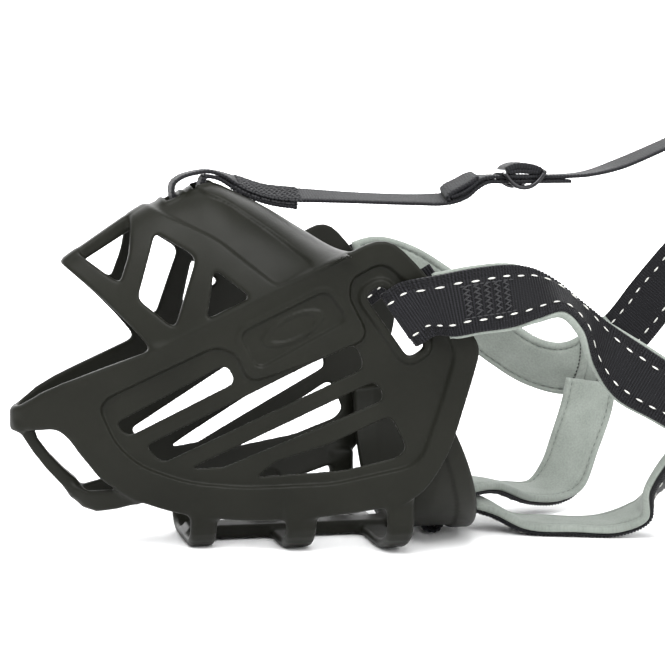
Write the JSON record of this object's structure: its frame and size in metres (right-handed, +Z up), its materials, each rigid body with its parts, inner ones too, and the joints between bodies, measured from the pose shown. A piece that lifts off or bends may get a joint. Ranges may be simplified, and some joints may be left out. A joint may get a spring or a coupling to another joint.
{
  "type": "basket muzzle",
  "caption": "Silicone basket muzzle for a large dog, with air slots, a padded neck strap and throat strap, a forehead strap with a slider, and a side-release buckle.",
  "frame": {"origin": "on the middle plane under the middle chin bar, on the floor the muzzle stands on", "axes": "+Z up, +X from the nose to the back of the neck, +Y to the dog's right"},
  "size_m": [0.3477, 0.1361, 0.1654],
  "materials": {
    "silicone": "matte dark olive-black silicone",
    "webbing": "black woven nylon webbing",
    "lining": "pale grey-green padded mesh lining",
    "steel": "bright plated steel wire",
    "plastic": "black moulded plastic"
  },
  "bodies": {
    "muzzle": {"nose_cap": "silicone", "side_panel_left": "silicone", "side_panel_right": "silicone", "front_ring": "silicone", "front_bar": "silicone", "chin_front": "silicone", "chin_bar_front": "silicone", "chin_bar_middle": "silicone", "chin_bar_rear": "silicone", "chin_band": "silicone", "chin_rail": "silicone", "neck_webbing_left": "webbing", "neck_webbing_right": "webbing", "throat_webbing_left": "webbing", "throat_webbing_right": "webbing", "forehead_front_strap": "webbing", "forehead_rear_strap": "webbing", "neck_liner_left": "lining", "neck_liner_right": "lining", "throat_liner_left": "lining", "throat_liner_right": "lining", "buckle_female": "plastic"},
    "forehead_slider_body": {"forehead_slider": "steel"},
    "neck_adjuster_body": {"neck_adjuster": "plastic"},
    "buckle_male_body": {"buckle_male": "plastic", "buckle_tail_webbing": "webbing"},
    "prong_left_body": {"buckle_prong_left": "plastic"},
    "prong_right_body": {"buckle_prong_right": "plastic"}
  },
  "joints": [
    {"name": "forehead_slider_slide", "type": "slide", "parent": "muzzle", "child": "forehead_slider_body", "axis": [1, 0, 0], "range_m": [-0.004, 0.006]},
    {"name": "neck_adjuster_slide", "type": "slide", "parent": "muzzle", "child": "neck_adjuster_body", "axis": [0.5112, 0.2691, 0.8163], "range_m": [-0.006, 0.006]},
    {"name": "buckle_slide", "type": "slide", "parent": "muzzle", "child": "buckle_male_body", "axis": [-0.5112, -0.2691, -0.8163], "range_m": [0, 0.022], "deforming": ["buckle_prong_left", "buckle_prong_right"]},
    {"name": "prong_left_press", "type": "hinge", "parent": "buckle_male_body", "child": "prong_left_body", "pos_m": [0.20872, -0.02707, 0.12356], "axis": [-0.0002, 0.9498, -0.313], "range_deg": [0, 8], "stiffness_Nm_per_rad": 0.02},
    {"name": "prong_right_press", "type": "hinge", "parent": "buckle_male_body", "child": "prong_right_body", "pos_m": [0.22057, -0.02928, 0.11686], "axis": [0.0002, -0.9498, 0.313], "range_deg": [0, 8], "stiffness_Nm_per_rad": 0.02}
  ]
}
